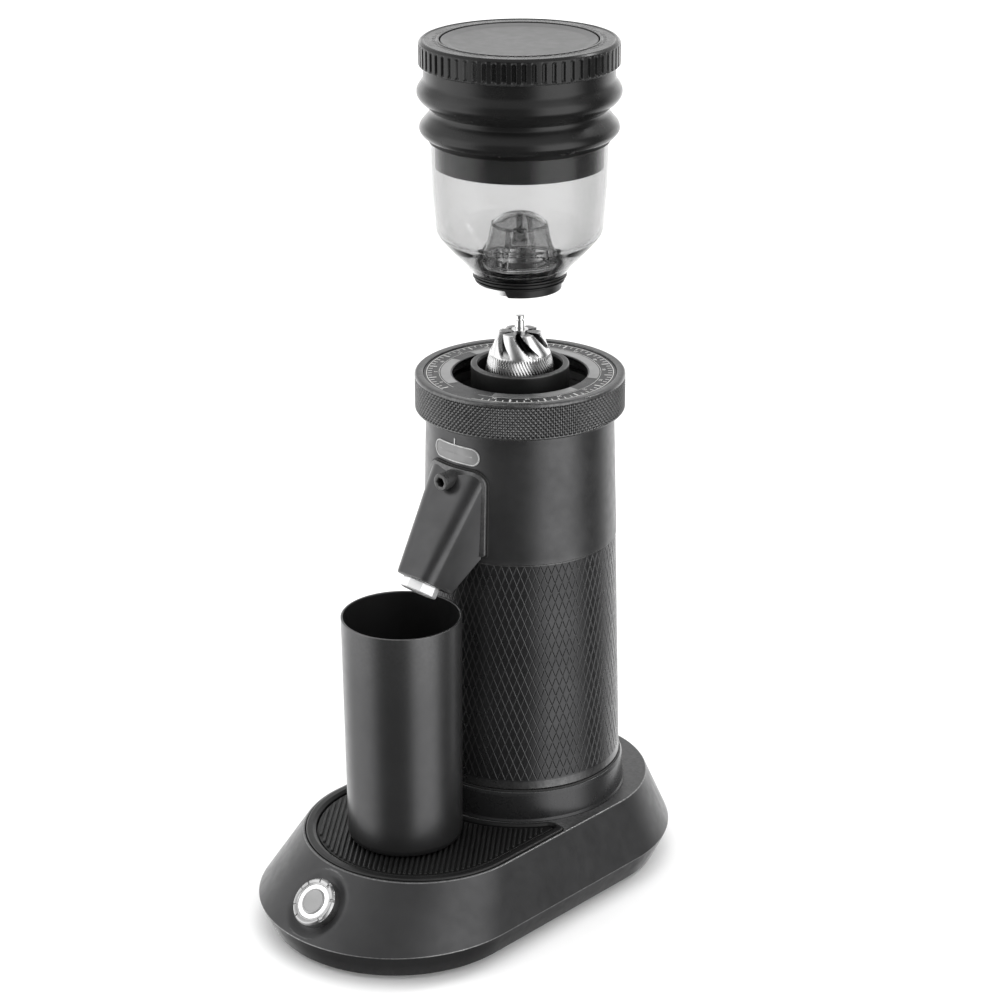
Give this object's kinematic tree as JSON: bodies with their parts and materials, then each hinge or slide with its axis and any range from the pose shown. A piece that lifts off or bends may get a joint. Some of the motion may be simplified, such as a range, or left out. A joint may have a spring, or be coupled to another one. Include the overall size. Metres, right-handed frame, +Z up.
{
  "type": "burr coffee grinder",
  "caption": "Upright electric conical-burr coffee grinder with a lift-off bellows hopper, a graduated adjusting ring, a sloping chute and a loose dosing cup on a ribbed tray.",
  "frame": {"origin": "middle of the base's footprint, on the surface that the feet stand on", "axes": "+Z up along the column, -Y towards the front with the switch and the cup, +X to the right seen from the front"},
  "size_m": [0.1394, 0.238, 0.4235],
  "materials": {
    "base_paint": "satin black powder coat",
    "plate_steel": "plain zinc-coated steel",
    "screw_steel": "plain steel",
    "black_rubber": "matte black rubber",
    "black_plastic": "fine matte moulded plastic",
    "board_green": "lacquered circuit board",
    "bezel_steel": "turned bright steel",
    "button_steel": "satin steel",
    "lit_ring": "frosted white light guide",
    "knurled_metal": "black anodised, knurled",
    "satin_metal": "black anodised, satin",
    "badge_metal": "light grey satin",
    "black_steel": "black oxide",
    "bright_steel": "polished",
    "magnet_iron": "dull ferrite",
    "shaft_steel": "ground steel",
    "armature_copper": "lacquered copper windings on laminations",
    "gear_plastic": "moulded acetal",
    "chamber_alloy": "die-cast",
    "burr_steel": "ground tool steel",
    "ring_metal": "black anodised",
    "dial_print": "black with light markings",
    "clear_jar": "clear moulded plastic",
    "smoked_guard": "smoked clear plastic",
    "lid_print": "fine matte dark grey",
    "cup_metal": "black anodised, satin"
  },
  "bodies": {
    "base": {"base_shell": "base_paint", "base_plate": "plate_steel", "base_screws": "screw_steel", "rubber_feet": "black_rubber", "drip_tray": "black_plastic", "tray_mat": "black_rubber", "control_board": "board_green", "switch_bezel": "bezel_steel", "light_ring": "lit_ring", "switch_nut": "plate_steel", "power_inlet": "black_plastic", "inlet_nut": "plate_steel", "plinth_collar": "base_paint", "column_screws": "screw_steel", "column_gasket": "black_rubber", "lower_column": "knurled_metal", "upper_column": "satin_metal", "index_badge": "badge_metal", "chute_body": "satin_metal", "chute_gasket": "black_rubber", "chute_screw": "black_steel", "spout_insert": "bright_steel", "motor_can": "plate_steel", "motor_end_cap": "black_plastic", "motor_magnets": "magnet_iron", "motor_mount": "plate_steel", "motor_screws": "screw_steel", "ring_gear_housing": "shaft_steel", "gearbox_cover": "plate_steel", "bearing_outer_races": "bright_steel", "bearing_balls": "bright_steel", "grind_chamber": "chamber_alloy", "shaft_seal": "black_rubber"},
    "power_button": {"button_cap": "button_steel"},
    "motor_rotor": {"motor_shaft": "shaft_steel", "motor_armature": "armature_copper", "sun_gear": "shaft_steel"},
    "drive_train": {"planet_carrier": "shaft_steel", "planet_pins": "shaft_steel", "drive_shaft": "shaft_steel", "bearing_inner_races": "bright_steel", "sweeper": "chamber_alloy", "inner_burr": "burr_steel"},
    "planet_1": {"planet_gear_1": "gear_plastic"},
    "planet_2": {"planet_gear_2": "gear_plastic"},
    "planet_3": {"planet_gear_3": "gear_plastic"},
    "adjuster": {"adjust_ring": "ring_metal", "dial_plate": "dial_print"},
    "carrier": {"burr_carrier": "ring_metal"},
    "hopper": {"hopper_neck": "black_plastic", "hopper_jar": "clear_jar", "outer_burr": "burr_steel", "popcorn_guard": "smoked_guard"},
    "bellows_unit": {"hopper_band": "black_plastic", "bellows": "black_rubber"},
    "lid": {"lid_cap": "black_plastic", "lid_disc": "lid_print"},
    "cup": {"dosing_cup": "cup_metal"}
  },
  "joints": [
    {"name": "button_press", "type": "slide", "parent": "base", "child": "power_button", "axis": [0, 0.7225, -0.6913], "range_m": [0, 0.0015], "stiffness_N_per_m": 600},
    {"name": "burr_spin", "type": "hinge", "parent": "base", "child": "drive_train", "pos_m": [0, 0.0392, 0.2], "axis": [0, 0, 1], "continuous": true},
    {"name": "motor_spin", "type": "hinge", "parent": "base", "child": "motor_rotor", "pos_m": [0, 0.0392, 0.1], "axis": [0, 0, 1], "continuous": true},
    {"name": "planet_spin_1", "type": "hinge", "parent": "drive_train", "child": "planet_1", "pos_m": [0.0144, 0.0392, 0.152], "axis": [0, 0, 1], "continuous": true},
    {"name": "planet_spin_2", "type": "hinge", "parent": "drive_train", "child": "planet_2", "pos_m": [-0.0072, 0.05167, 0.152], "axis": [0, 0, 1], "continuous": true},
    {"name": "planet_spin_3", "type": "hinge", "parent": "drive_train", "child": "planet_3", "pos_m": [-0.0072, 0.02673, 0.152], "axis": [0, 0, 1], "continuous": true},
    {"name": "grind_adjust", "type": "hinge", "parent": "base", "child": "adjuster", "pos_m": [0, 0.0392, 0.25], "axis": [0, 0, 1], "range_deg": [-90, 210]},
    {"name": "carrier_rise", "type": "slide", "parent": "base", "child": "carrier", "axis": [0, 0, 1], "range_m": [-0.0005, 0.001]},
    {"name": "hopper_lift", "type": "slide", "parent": "carrier", "child": "hopper", "axis": [0, 0, 1], "range_m": [-0.0417, 0.0583]},
    {"name": "bellows_lift", "type": "slide", "parent": "hopper", "child": "bellows_unit", "axis": [0, 0, 1], "range_m": [0, 0.06]},
    {"name": "lid_press", "type": "slide", "parent": "bellows_unit", "child": "lid", "axis": [0, 0, -1], "range_m": [0, 0.012], "stiffness_N_per_m": 300, "springref_m": -0.005, "deforming": ["bellows"]},
    {"name": "cup_slide", "type": "slide", "parent": "base", "child": "cup", "axis": [0, -0.9889, 0.1483], "range_m": [0, 0.13]}
  ],
  "couplings": [
    {"joint": "motor_spin", "follows": "burr_spin", "ratio": 6},
    {"joint": "planet_spin_1", "follows": "burr_spin", "ratio": -2.5},
    {"joint": "planet_spin_2", "follows": "burr_spin", "ratio": -2.5},
    {"joint": "planet_spin_3", "follows": "burr_spin", "ratio": -2.5},
    {"joint": "carrier_rise", "follows": "grind_adjust", "m_per_rad": 0.00023873}
  ]
}
